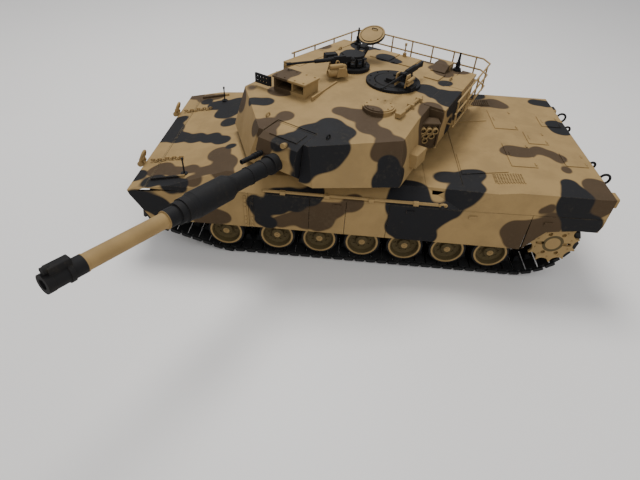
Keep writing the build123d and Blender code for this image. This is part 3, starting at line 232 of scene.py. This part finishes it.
camo = {
    "waver": 0.004,
    "edge": 0.0011,
    "hullBlack": [
        (188, -89, 82, 9), (168, -73, 86, 15), (148, -47, 90, 18), (144, -73, 91, 15), (140, -15, 92, 12),
        (209, -17, 78, 14), (196, 10, 80, 14), (174, 15, 85, 12), (153, 20, 89, 12), (137, 29, 93, 10),
        (123, 47, 96, 6), (215, 88, 76, 12), (193, 104, 81, 12), (173, 110, 85, 10), (160, 114, 86, 8),
        (206, 116, 64, 14), (188, 116, 58, 14), (78, 116, 68, 12), (62, 116, 71, 10), (44, 116, 75, 9),
        (79, 116, 52, 7), (70, 116, 48, 8), (39, 116, 88, 6), (-106, 81, 100, 10), (-124, 85, 103, 13),
        (-134, 83, 105, 10), (-104, 82, 82, 18), (-118, 108, 100, 16), (-129, 104, 104, 12), (-68, 108, 91, 20),
        (-71, 116, 72, 17), (-87, 116, 74, 17), (-102, 116, 80, 10), (-113, 116, 83, 7), (-75, 116, 49, 15),
        (-90, 116, 50, 12), (-239, -103, 110, 9), (-252, -101, 110, 10), (-266, -105, 105, 8), (-247, -37, 111, 13),
        (-251, -25, 110, 13), (-222, 89, 110, 9), (-224, 102, 110, 12), (-223, 116, 104, 17), (-227, 116, 91, 10),
        (-237, 116, 78, 16), (-249, 116, 80, 10), (150, -116, 60, 14), (130, -116, 66, 14), (20, -116, 80, 16),
        (4, -116, 62, 16), (-20, -116, 50, 14), (-150, -116, 80, 16), (-166, -112, 96, 18), (-170, -116, 60, 14),
        (-252, -116, 80, 16), (-60, -95, 98, 21), (-80, -88, 99, 18), (-259, -60, 90, 18), (-259, -40, 76, 18),
        (-259, 60, 60, 18), (212, 0, 66, 21), (205, -40, 66, 18), (52, 116, 84, 10), (64, 116, 84, 10),
        (30, 116, 84, 9), (26, 112, 92, 9), (88, 116, 76, 8), (-60, 116, 60, 14), (-58, 116, 84, 12),
    ],
    "hullBrown": [
        (191, -100, 84, 14), (209, -111, 78, 10), (173, -101, 88, 9), (133, 60, 94, 14), (121, 80, 96, 14),
        (120, 99, 96, 12), (139, 92, 92, 10), (157, 86, 88, 9), (174, 89, 85, 10), (192, 81, 81, 14),
        (162, 97, 106, 8), (149, 109, 90, 9), (131, 116, 51, 12), (144, 116, 47, 8), (120, 116, 51, 7),
        (52, 116, 55, 8), (36, 116, 54, 10), (20, 116, 69, 12), (6, 116, 70, 10), (22, 116, 51, 8),
        (-185, -90, 110, 14), (-194, -84, 110, 9), (-168, -88, 110, 12), (-181, 34, 111, 14), (-193, 36, 111, 12),
        (-210, 27, 110, 9), (-220, 34, 110, 8), (-227, 45, 110, 8), (-228, 64, 110, 6), (-249, 90, 110, 14),
        (-248, 110, 110, 16), (-245, 116, 99, 12), (-203, 116, 96, 5), (-196, 116, 93, 3), (-177, 116, 66, 14),
        (-192, 116, 66, 16), (-207, 116, 72, 14), (-213, 116, 81, 10), (-182, 116, 52, 12), (90, -116, 80, 14),
        (76, -116, 62, 16), (60, -116, 50, 12), (-60, -116, 60, 16), (-80, -116, 74, 16), (-100, -116, 88, 14),
        (-215, -116, 60, 16), (-205, -116, 84, 14), (40, -90, 98, 18), (20, -80, 98, 16), (-259, 20, 86, 21),
        (-259, 0, 70, 16), (-259, -90, 60, 18), (205, 50, 60, 18), (60, 116, 50, 8), (30, 116, 64, 11),
        (-8, 116, 80, 9), (-14, 116, 84, 8), (14, 116, 56, 9), (44, 116, 60, 7),
    ],
    "turretBlack": [
        (43, 108, 143, 12), (32, 92, 144, 15), (16, 78, 146, 13), (4, 91, 146, 11), (38, 117, 132, 15),
        (20, 117, 136, 20), (6, 114, 139, 10), (41, 117, 114, 11), (35, 123, 112, 6), (51, 102, 143, 7),
        (63, 108, 139, 9), (98, 36, 146, 9), (85, 37, 146, 9), (-41, 110, 125, 10), (-45, 114, 112, 11),
        (-36, 117, 108, 9), (-56, 108, 114, 7), (-82, -20, 151, 13), (-97, -5, 151, 15), (-108, 13, 151, 15),
        (-106, -38, 151, 9), (-43, -106, 152, 12), (-54, -94, 152, 7), (97, -33, 130, 17), (90, -52, 142, 15),
        (60, -104, 130, 15), (-13, -143, 150, 17), (-38, -146, 140, 17), (60, -104, 116, 12), (-117, -2, 150, 15),
        (-127, -14, 132, 16), (-117, 10, 120, 12), (-137, -37, 120, 12), (12, 96, 146, 13), (24, 100, 144, 13),
        (30, 117, 128, 13),
    ],
    "turretBrown": [
        (91, 77, 135, 9), (75, 79, 143, 12), (60, 63, 145, 9), (78, 97, 140, 12), (77, 105, 132, 9),
        (6, 51, 149, 9), (-7, 58, 149, 12), (-22, 58, 152, 13), (-18, 79, 147, 12), (-32, 89, 147, 10),
        (-36, 106, 141, 11), (-45, 105, 141, 13), (-53, 106, 132, 11), (-31, 109, 134, 7), (68, -1, 164, 15),
        (74, 17, 164, 9), (79, 13, 148, 9), (70, 17, 148, 9), (-103, -84, 158, 12), (-133, -81, 150, 12),
        (-111, -67, 153, 12), (-86, 31, 145, 15), (-91, 49, 141, 13), (-82, 51, 123, 15), (77, -79, 120, 16),
        (41, -130, 140, 17), (-99, -111, 140, 17), (-116, -101, 126, 15), (108, 7, 130, 17), (-79, 55, 140, 10),
        (-82, 43, 146, 12),
    ],
}


def patch(paint, spots, place):
    # inside a group of merged balls, in mm: x, y, z, radius
    field = None
    for x, y, z, radius in spots:
        centre = (x / 1000, y / 1000, z / 1000)
        depth = radius / 1000 - paint.vector("DISTANCE", place, centre, "Value")
        field = depth if field is None else field.blendMost(depth, 0.012)
    return paint.step(field, -camo["edge"], camo["edge"])


def camoPaint(name, blackSpots, brownSpots):
    paint = Paint(name)
    bend = paint.node("ShaderNodeTexNoise", None, {"Vector": paint.coords, "Scale": 19.0, "Detail": 1.0}, "Color")
    away = paint.vector("SUBTRACT", bend, (0.5, 0.5, 0.5))
    moved = paint.vector("MULTIPLY", away, (camo["waver"] * 3,) * 3)
    place = paint.vector("ADD", paint.coords, moved)
    brown = patch(paint, brownSpots, place)
    black = patch(paint, blackSpots, place)
    first = paint.mix(brown, coat["sand"], coat["brown"])
    weathered(paint, paint.mix(black, first, coat["black"]))
    return paint.material


def plainPaint(name, colour, wear=0.35, dust=0.12, edge=0.0005):
    paint = Paint(name)
    weathered(paint, colour, wear, dust, edge)
    return paint.material


def wheelPaint(name, node):
    low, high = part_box(node)
    axle = Vector(low).lerp(Vector(high), 0.5)
    rimRadius = (high[2] - low[2]) / 2 - 0.0022
    paint = Paint(name)
    flat = paint.vector("MULTIPLY", paint.vector("SUBTRACT", paint.coords, tuple(axle)), (1.0, 0.0, 1.0))
    out = paint.vector("LENGTH", flat, (0, 0, 0), "Value")
    if "sprocket" in node:
        # toothed ring and hub in sand, with the hollow between them in shade
        hollow = paint.step(out, 0.0107, 0.0104) - paint.step(out, 0.0076, 0.0073)
        weathered(paint, paint.mix(hollow, coat["sand"], coat["dishShade"]), 0.18, 0.10, 0.0004)
        return paint.material
    tyre = paint.step(out, rimRadius - 0.0001, rimRadius + 0.0001)
    # the sunken dish between rim and hub is painted darker, as painted shade
    dishShade = paint.step(out, rimRadius - 0.0017, rimRadius - 0.0021) - paint.step(out, 0.0036, 0.0032)
    shadedDish = paint.mix(dishShade, coat["sand"], coat["dishShade"])
    weathered(paint, paint.mix(tyre, shadedDish, (0.010, 0.010, 0.0105)), 0.18, 0.10, 0.0004)
    return paint.material


def barrelPaint(name):
    # sand band between the sleeve and the muzzle, measured along the gun
    along = Vector(next(m for m in frame["record"]["mounts"] if m["name"] == "muzzle_bore")["axis"])
    paint = Paint(name)
    place = paint.vector("DOT_PRODUCT", paint.coords, tuple(along), "Value")
    band = paint.step(place, 0.2723, 0.2729) * paint.step(place, 0.3402, 0.3396)
    weathered(paint, paint.mix(band, (0.0095, 0.0095, 0.010), coat["sand"]), 0.05, 0.05, 0.0004)
    return paint.material


def trackRubber(name):
    paint = Paint(name, 0.62, 0.3)
    patches = paint.noise(60.0, 4.0, 0.6)
    scuffs = paint.step(paint.edges(0.0004), 0.05, 0.3) * paint.step(patches, 0.4, 0.6) * 0.5
    base = paint.mix(paint.step(patches, 0.4, 0.7), (0.006, 0.006, 0.0062), (0.012, 0.0118, 0.0115))
    paint.feed("Base Color", paint.mix(scuffs, base, (0.035, 0.033, 0.030)))
    paint.feed("Roughness", 0.5 + 0.3 * patches)
    paint.bump(paint.noise(1500.0, 3.0, 0.6), 0.2, 0.0003, 0.0002)
    return paint.material


def metal(name, colour, roughness):
    paint = Paint(name, roughness)
    paint.shader.inputs["Metallic"].default_value = 1.0
    stains = paint.noise(180.0, 4.0, 0.6)
    paint.feed("Base Color", paint.mix(paint.step(stains, 0.4, 0.75) * 0.5, colour, tuple(c * 0.35 for c in colour)))
    paint.feed("Roughness", roughness + 0.25 * stains)
    paint.bump(paint.noise(1200.0, 2.0, 0.5), 0.12, 0.0002, 0.0002)
    return paint.material


def wrap(name):
    paint = Paint(name, 0.25, 0.5)
    creases = paint.noise(120.0, 3.0, 0.55)
    paint.feed("Base Color", paint.mix(paint.step(creases, 0.3, 0.7), (0.008, 0.06, 0.03), (0.014, 0.09, 0.05)))
    paint.feed("Roughness", 0.2 + 0.2 * creases)
    paint.bump(creases, 0.3, 0.0006, 0.0004)
    return paint.material


finishes = {
    "track_plastic": trackRubber("trackRubber"),
    "barrel_paint": barrelPaint("barrelPaint"),
    "black_plastic": plainPaint("blackFittings", (0.0095, 0.0095, 0.010), 0.07, 0.05, 0.0003),
    "dark_plastic": plainPaint("darkMoulding", (0.020, 0.019, 0.018), 0.10, 0.08, 0.0004),
    "steel": metal("platedSteel", (0.55, 0.54, 0.52), 0.32),
    "motor_steel": metal("motorSteel", (0.50, 0.50, 0.49), 0.38),
    "battery_wrap": wrap("batteryWrap"),
    "board": plainPaint("boardLacquer", (0.012, 0.09, 0.03), 0.05, 0.02, 0.0003),
    "sand_paint": plainPaint("sandFittings", coat["sand"], 0.35, 0.12, 0.0003),
}
hullPaint = camoPaint("hullCamouflage", camo["hullBlack"], camo["hullBrown"])
turretPaint = camoPaint("turretCamouflage", camo["turretBlack"], camo["turretBrown"])

turretNodes = {"turret_shell", "gun_mantlet", "gunner_sight", "stowage_bins", "smoke_launchers"}
for entry in frame["record"]["subparts"]:
    node = entry["node"]
    slot = entry["material_slot"]
    if "wheel" in node or "sprocket" in node:
        material = wheelPaint(node + "Paint", node)
    elif slot == "camouflage_paint":
        material = turretPaint if node in turretNodes else hullPaint
    else:
        material = finishes[slot]
    shown = frame["nodes"][node]
    shown.data.materials.clear()
    shown.data.materials.append(material)
print("finishes made")


# added pieces

turretTurn = math.radians(60)


def onTurret(x, y, z):
    # a place in the turret's own frame, mm, turned to where the turret stands
    flatX = x * math.cos(turretTurn) - y * math.sin(turretTurn)
    flatY = x * math.sin(turretTurn) + y * math.cos(turretTurn)
    return Vector((flatX, flatY, z)) / 1000


def startPiece(adder, name, **options):
    if bpy.context.object and bpy.context.object.mode != "OBJECT":
        bpy.ops.object.mode_set(mode="OBJECT")
    bpy.ops.object.select_all(action="DESELECT")
    adder(**options)
    piece = bpy.context.object
    piece.name = name
    return piece


def pickFaces(piece, wanted):
    # in edit mode with only the faces that match selected
    bpy.ops.object.mode_set(mode="EDIT")
    bpy.ops.mesh.select_mode(type="FACE")
    bpy.ops.mesh.select_all(action="DESELECT")
    bpy.ops.object.mode_set(mode="OBJECT")
    for face in piece.data.polygons:
        face.select = wanted(face)
    bpy.ops.object.mode_set(mode="EDIT")


def settle(piece, body, material, angle=35):
    # place into the mesh, smooth by angle, and ride with a body
    bpy.ops.object.mode_set(mode="OBJECT")
    bpy.ops.object.select_all(action="DESELECT")
    piece.select_set(True)
    bpy.context.view_layer.objects.active = piece
    bpy.ops.object.transform_apply(location=True, rotation=True, scale=True)
    bpy.ops.object.shade_smooth_by_angle(angle=math.radians(angle))
    piece.data.materials.clear()
    piece.data.materials.append(material)
    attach(piece, body)
    return piece


def copyTo(piece, name, matrix, body):
    # a copy with its own mesh, moved by a matrix into its mesh
    twin = piece.copy()
    twin.data = piece.data.copy()
    twin.name = name
    bpy.context.collection.objects.link(twin)
    twin.data.transform(matrix)
    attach(twin, body)
    return twin


windows = {
    "frame": 0.0005,
    "sunk": 0.0004,
    "bevel": 0.0003,
}

glassPaint = Paint("smokedGlass", 0.12, 0.6)
haze = glassPaint.noise(300.0, 2.0, 0.5)
glassPaint.feed("Base Color", glassPaint.mix(haze, (0.010, 0.014, 0.020), (0.03, 0.04, 0.055)))
glassPaint.feed("Roughness", 0.06 + 0.12 * haze)
glassPaint.shader.inputs["Coat Weight"].default_value = 0.6


def makeWindow(name, body, centre, size, turn):
    # a framed pane that looks along its own +X, with the pane sunk in the frame
    piece = startPiece(bpy.ops.mesh.primitive_cube_add, name, size=1.0, location=centre, rotation=(0, 0, turn))
    piece.scale = size
    bpy.ops.object.transform_apply(location=False, rotation=False, scale=True)
    pickFaces(piece, lambda face: face.normal.x > 0.9)
    bpy.ops.mesh.inset(thickness=windows["frame"])
    bpy.ops.mesh.extrude_region_move(TRANSFORM_OT_translate={"value": (
        -windows["sunk"] * math.cos(turn), -windows["sunk"] * math.sin(turn), 0)})
    bpy.ops.object.mode_set(mode="OBJECT")
    soften = piece.modifiers.new("soften", "BEVEL")
    soften.width = windows["bevel"]
    soften.segments = 2
    bpy.ops.object.modifier_apply(modifier="soften")
    return settle(piece, body, glassPaint.material)


def makePeriscopes():
    low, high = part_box("driver_hatch")
    front = high[0] - 0.0030
    for number, side in enumerate((-0.0095, 0.0, 0.0095)):
        place = (front, side, high[2] - 0.0012)
        makeWindow("driverPeriscope%d" % (number + 1), "driver_hatch", place, (0.0012, 0.0056, 0.0016), 0.0)
    for number in range(7):
        heading = math.radians(-90 + 30 * number)
        middle = onTurret(-56, -31, 162.4)
        reach = 0.0161
        turn = heading + turretTurn
        place = middle + Vector((reach * math.cos(turn), reach * math.sin(turn), 0))
        makeWindow("cupolaPeriscope%d" % (number + 1), "cupola", place, (0.0010, 0.0044, 0.0038), turn)
    for number, (y, width) in enumerate(((-35.0, 0.0130), (-54.0, 0.0170))):
        place = onTurret(30.0, y, 156.2)
        makeWindow("sightWindow%d" % (number + 1), "turret", place, (0.0016, width, 0.0078), turretTurn)


makePeriscopes()
print("windows made")


launcher = {
    "rim": 0.0031,
    "wall": 0.0008,
    "length": 0.0052,
    "rows": ((4, 0.0), (3, 5.4), (1, 10.8)),
}


def makeLauncherTubes():
    for side in (1, -1):
        heading = turretTurn + math.radians(37 * side)
        ahead = Vector((math.cos(heading), math.sin(heading), 0))
        across = Vector((-math.sin(heading), math.cos(heading), 0))
        middle = onTurret(4.0, 95.5 * side, 128)
        first = None
        number = 0
        for count, drop in launcher["rows"]:
            for index in range(count):
                number += 1
                name = "launcherTube%s%d" % ("Left" if side > 0 else "Right", number)
                out = (index - (count - 1) / 2) * 0.0062
                place = middle + ahead * 0.0002 + across * out + Vector((0, 0, 0.007 - drop / 1000))
                if first is None:
                    first = makeTube(name, place, ahead, finishes["sand_paint"])
                    firstPlace = place
                else:
                    copyTo(first, name, Matrix.Translation(place - firstPlace), "turret")


def makeTube(name, place, ahead, material):
    turn = ahead.to_track_quat("Z", "Y").to_euler()
    piece = startPiece(bpy.ops.mesh.primitive_cylinder_add, name, vertices=18, radius=launcher["rim"],
                       depth=launcher["length"], location=place, rotation=turn)
    pickFaces(piece, lambda face: abs(face.normal.z) > 0.9)
    bpy.ops.mesh.inset(thickness=launcher["wall"])
    bpy.ops.object.mode_set(mode="OBJECT")
    pickFaces(piece, lambda face: face.normal.z > 0.9 and Vector(face.center).xy.length < 0.0004)
    bpy.ops.mesh.extrude_region_move(TRANSFORM_OT_translate={"value": tuple(-ahead * launcher["length"] * 0.8)})
    bpy.ops.object.mode_set(mode="OBJECT")
    soften = piece.modifiers.new("soften", "BEVEL")
    soften.width = 0.0002
    soften.segments = 2
    soften.limit_method = "ANGLE"
    bpy.ops.object.modifier_apply(modifier="soften")
    return settle(piece, "turret", material)


makeLauncherTubes()
print("launcher tubes made")


rope = {
    "strands": 6,
    "middle": 0.00078,
    "strand": 0.00042,
    "pitch": 0.0095,
    "from": -0.0955,
    "to": 0.0775,
}


def makeTowRopes():
    # twisted strands laid over each tow cable, between its eyes
    low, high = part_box("tow_cables")
    ropeZ = (low[2] + high[2]) / 2
    ropeY = high[1] - 0.0031
    for side, name in ((1, "Left"), (-1, "Right")):
        length = rope["to"] - rope["from"]
        strands = []
        for strand in range(rope["strands"]):
            start = 2 * math.pi * strand / rope["strands"]
            offset = Vector((0, math.cos(start), math.sin(start))) * rope["middle"]
            piece = startPiece(bpy.ops.mesh.primitive_circle_add, "strand", vertices=6, radius=rope["strand"],
                               location=offset, rotation=(0, math.pi / 2, 0))
            bpy.ops.object.transform_apply(location=True, rotation=True, scale=True)
            wind = piece.modifiers.new("wind", "SCREW")
            wind.axis = "X"
            wind.screw_offset = length
            wind.angle = 2 * math.pi * length / rope["pitch"]
            wind.steps = wind.render_steps = 150
            bpy.ops.object.modifier_apply(modifier="wind")
            strands.append(piece)
        bpy.ops.object.select_all(action="DESELECT")
        for piece in strands:
            piece.select_set(True)
        bpy.context.view_layer.objects.active = strands[0]
        bpy.ops.object.join()
        whole = bpy.context.object
        whole.name = "towRope" + name
        whole.location = (rope["from"], side * ropeY, ropeZ)
        bpy.ops.object.mode_set(mode="EDIT")
        bpy.ops.mesh.select_all(action="SELECT")
        bpy.ops.mesh.remove_doubles(threshold=0.000002)
        bpy.ops.mesh.normals_make_consistent(inside=False)
        settle(whole, "hull", finishes["sand_paint"], 50)


makeTowRopes()
print("tow ropes made")



hatchLid = {
    "hinge": (-77.5, -31.0, 170.0),
    "middle": (-56.0, -31.0),
    "radius": 0.0158,
    "thick": 0.0033,
    "open": 155,
    "rim": 0.0019,
    "step": 0.0007,
}


def turretMatrix():
    return Matrix.Rotation(turretTurn, 4, "Z")


def makeHatchLid():
    # drawn shut in the turret's own frame, then swung open and turned with the turret
    x, y = hatchLid["middle"]
    piece = startPiece(bpy.ops.mesh.primitive_cylinder_add, "commanderHatchLid", vertices=56,
                       radius=hatchLid["radius"], depth=hatchLid["thick"], location=(x / 1000, y / 1000, 0.17005))
    bpy.ops.object.transform_apply(location=True, rotation=False, scale=False)
    for height, step in ((-0.9, -1), (0.9, 1)):
        pickFaces(piece, lambda face: face.normal.z * step > 0.9 and face.area > 0.0003)
        bpy.ops.mesh.inset(thickness=hatchLid["rim"])
        bpy.ops.mesh.extrude_region_move(TRANSFORM_OT_translate={"value": (0, 0, -step * hatchLid["step"])})
        bpy.ops.mesh.inset(thickness=hatchLid["rim"] * 0.55)
        bpy.ops.mesh.extrude_region_move(TRANSFORM_OT_translate={"value": (0, 0, step * hatchLid["step"] * 1.5)})
        bpy.ops.mesh.inset(thickness=hatchLid["rim"] * 0.6)
        bpy.ops.object.mode_set(mode="OBJECT")
    soften = piece.modifiers.new("soften", "BEVEL")
    soften.width = 0.0003
    soften.segments = 2
    soften.limit_method = "ANGLE"
    bpy.ops.object.modifier_apply(modifier="soften")
    hinge = Vector(hatchLid["hinge"]) / 1000
    swing = Matrix.Rotation(math.radians(-hatchLid["open"]), 4, "Y")
    shut = Matrix.Translation(hinge) @ swing @ Matrix.Translation(-hinge)
    parts = [piece, makeHatchArm(), makeHatchHandle()]
    for part in parts:
        part.data.transform(turretMatrix() @ shut)
    settle(piece, "commander_hatch", finishes["sand_paint"], 30)
    piece.data.materials.append(finishes["black_plastic"])
    inward = (turretMatrix() @ shut).to_3x3() @ Vector((0, 0, -1))
    for face in piece.data.polygons:
        face.material_index = 0 if face.normal.dot(inward) > 0.5 else 1
    settle(parts[1], "commander_hatch", finishes["black_plastic"], 30)
    settle(parts[2], "commander_hatch", finishes["black_plastic"], 40)
    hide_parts("commander_hatch")


def makeHatchArm():
    x, y, z = (value / 1000 for value in hatchLid["hinge"])
    arm = startPiece(bpy.ops.mesh.primitive_cube_add, "commanderHatchArm", size=1.0,
                     location=(x + 0.0052, y, 0.1702))
    arm.scale = (0.0110, 0.0072, 0.0030)
    bpy.ops.object.transform_apply(location=True, rotation=False, scale=True)
    pickFaces(arm, lambda face: face.normal.x < -0.9)
    bpy.ops.mesh.extrude_region_move(TRANSFORM_OT_translate={"value": (-0.0018, 0, 0)})
    bpy.ops.transform.resize(value=(1, 1, 0.7))
    bpy.ops.object.mode_set(mode="OBJECT")
    soften = arm.modifiers.new("soften", "BEVEL")
    soften.width = 0.0007
    soften.segments = 3
    bpy.ops.object.modifier_apply(modifier="soften")
    return arm


def makeHatchHandle():
    # a bent grab handle on the lid's inner face
    x, y = hatchLid["middle"]
    handle = startPiece(bpy.ops.mesh.primitive_circle_add, "commanderHatchHandle", vertices=10, radius=0.00055,
                        fill_type="NGON", location=(x / 1000 + 0.0075, y / 1000 - 0.0035, 0.1690))
    bpy.ops.object.transform_apply(location=True, rotation=False, scale=False)
    bpy.ops.object.mode_set(mode="EDIT")
    bpy.ops.mesh.select_all(action="SELECT")
    bpy.ops.mesh.extrude_region_move(TRANSFORM_OT_translate={"value": (0, 0, -0.0012)})
    pivot = (x / 1000 + 0.0075, y / 1000 - 0.0020, 0.1678)
    bpy.ops.mesh.spin(steps=6, angle=math.pi / 2, center=pivot, axis=(-1, 0, 0))
    bpy.ops.mesh.extrude_region_move(TRANSFORM_OT_translate={"value": (0, 0.0040, 0)})
    pivot = (x / 1000 + 0.0075, y / 1000 + 0.0020, 0.1678)
    bpy.ops.mesh.spin(steps=6, angle=math.pi / 2, center=pivot, axis=(-1, 0, 0))
    bpy.ops.mesh.extrude_region_move(TRANSFORM_OT_translate={"value": (0, 0, 0.0014)})
    bpy.ops.mesh.select_all(action="SELECT")
    bpy.ops.mesh.normals_make_consistent(inside=False)
    bpy.ops.object.mode_set(mode="OBJECT")
    return handle


makeHatchLid()
print("hatch lid made")


cradle = {
    "heading": 27,
    "drumRadius": 0.0043,
    "drumLength": 0.0200,
    "plate": (0.0150, 0.0014, 0.0100),
}


def makeDrum(name, place, radius, length, turn, material, body):
    # a turned drum with stepped, dished ends, lying along a heading
    piece = startPiece(bpy.ops.mesh.primitive_cylinder_add, name, vertices=32, radius=radius, depth=length,
                       location=(0, 0, 0), rotation=(0, math.pi / 2, 0))
    bpy.ops.object.transform_apply(location=False, rotation=True, scale=False)
    for side in (1, -1):
        pickFaces(piece, lambda face: face.normal.x * side > 0.9 and face.area > radius * radius)
        bpy.ops.mesh.inset(thickness=radius * 0.16)
        bpy.ops.mesh.extrude_region_move(TRANSFORM_OT_translate={"value": (side * radius * 0.30, 0, 0)})
        bpy.ops.mesh.inset(thickness=radius * 0.22)
        bpy.ops.mesh.extrude_region_move(TRANSFORM_OT_translate={"value": (-side * radius * 0.24, 0, 0)})
        bpy.ops.object.mode_set(mode="OBJECT")
    soften = piece.modifiers.new("soften", "BEVEL")
    soften.width = radius * 0.07
    soften.segments = 2
    soften.limit_method = "ANGLE"
    bpy.ops.object.modifier_apply(modifier="soften")
    piece.data.transform(Matrix.Translation(place) @ Matrix.Rotation(turn, 4, "Z"))
    return settle(piece, body, material, 30)


def makePlate(name, place, size, turn, body, material, lean=0.0):
    # a bevelled bracket plate whose top edge is narrower than its foot
    piece = startPiece(bpy.ops.mesh.primitive_cube_add, name, size=1.0)
    piece.scale = size
    bpy.ops.object.transform_apply(location=False, rotation=False, scale=True)
    pickFaces(piece, lambda face: face.normal.z > 0.9)
    bpy.ops.transform.resize(value=(0.55, 1, 1))
    bpy.ops.transform.translate(value=(lean, 0, 0))
    bpy.ops.object.mode_set(mode="OBJECT")
    pickFaces(piece, lambda face: abs(face.normal.y) > 0.9)
    bpy.ops.mesh.inset(thickness=min(size[0], size[2]) * 0.14, depth=-size[1] * 0.2)
    bpy.ops.object.mode_set(mode="OBJECT")
    soften = piece.modifiers.new("soften", "BEVEL")
    soften.width = 0.0003
    soften.segments = 2
    soften.limit_method = "ANGLE"
    bpy.ops.object.modifier_apply(modifier="soften")
    piece.data.transform(Matrix.Translation(place) @ Matrix.Rotation(turn, 4, "Z"))
    return settle(piece, body, material, 30)


def makeGunCradles():
    sand = finishes["sand_paint"]
    heading = math.radians(cradle["heading"])
    size = cradle["plate"]
    low = onTurret(-20, -32, 158.4)
    along = Vector((math.cos(heading), math.sin(heading), 0))
    across = Vector((-math.sin(heading), math.cos(heading), 0))
    makeDrum("gunMountDrum", low + along * 0.002 + across * 0.0080, cradle["drumRadius"], cradle["drumLength"],
             heading, sand, "cupola")
    makeDrum("gunMountBuffer", low + along * 0.003 + across * 0.0078 + Vector((0, 0, 0.0068)), 0.0026, 0.0150,
             heading, sand, "cupola")
    for number, (out, ahead) in enumerate(((0.0058, 0.0), (-0.0066, 0.0), (0.0128, -0.003))):
        makePlate("gunMountPlate%d" % (number + 1), low + across * out + along * ahead + Vector((0, 0, 0.0012)),
                  size, heading, "cupola", sand, 0.001)
    for number, out in enumerate((49.9, 37.9)):
        makePlate("loaderMountPlate%d" % (number + 1), onTurret(-38, out, 162.2), (0.0150, 0.0016, 0.0130),
                  turretTurn, "loader_ring", sand, 0.0015)
    makeDrum("loaderMountBuffer", onTurret(-38, 52.4, 163.5), 0.0019, 0.0150, turretTurn, sand, "loader_ring")
    makeDrum("loaderMountSpring", onTurret(-38, 52.4, 159.2), 0.0015, 0.0130, turretTurn, sand, "loader_ring")


makeGunCradles()
print("gun cradles made")



# floor

def makeFloor():
    bpy.ops.object.select_all(action="DESELECT")
    bpy.ops.mesh.primitive_plane_add(size=2 * studio["floorHalf"], location=(0, 0, -0.0002))
    floor = bpy.context.object
    floor.name = "floor"
    paint = Paint("paleTable", 0.45, 0.35)
    clouds = paint.noise(3.0, 3.0, 0.5)
    lighter = tuple(min(1.0, c * 1.04) for c in studio["floorColour"])
    paint.feed("Base Color", paint.mix(clouds, studio["floorColour"], lighter))
    paint.feed("Roughness", 0.38 + 0.15 * clouds)
    floor.data.materials.append(paint.material)


makeFloor()
print("floor laid")
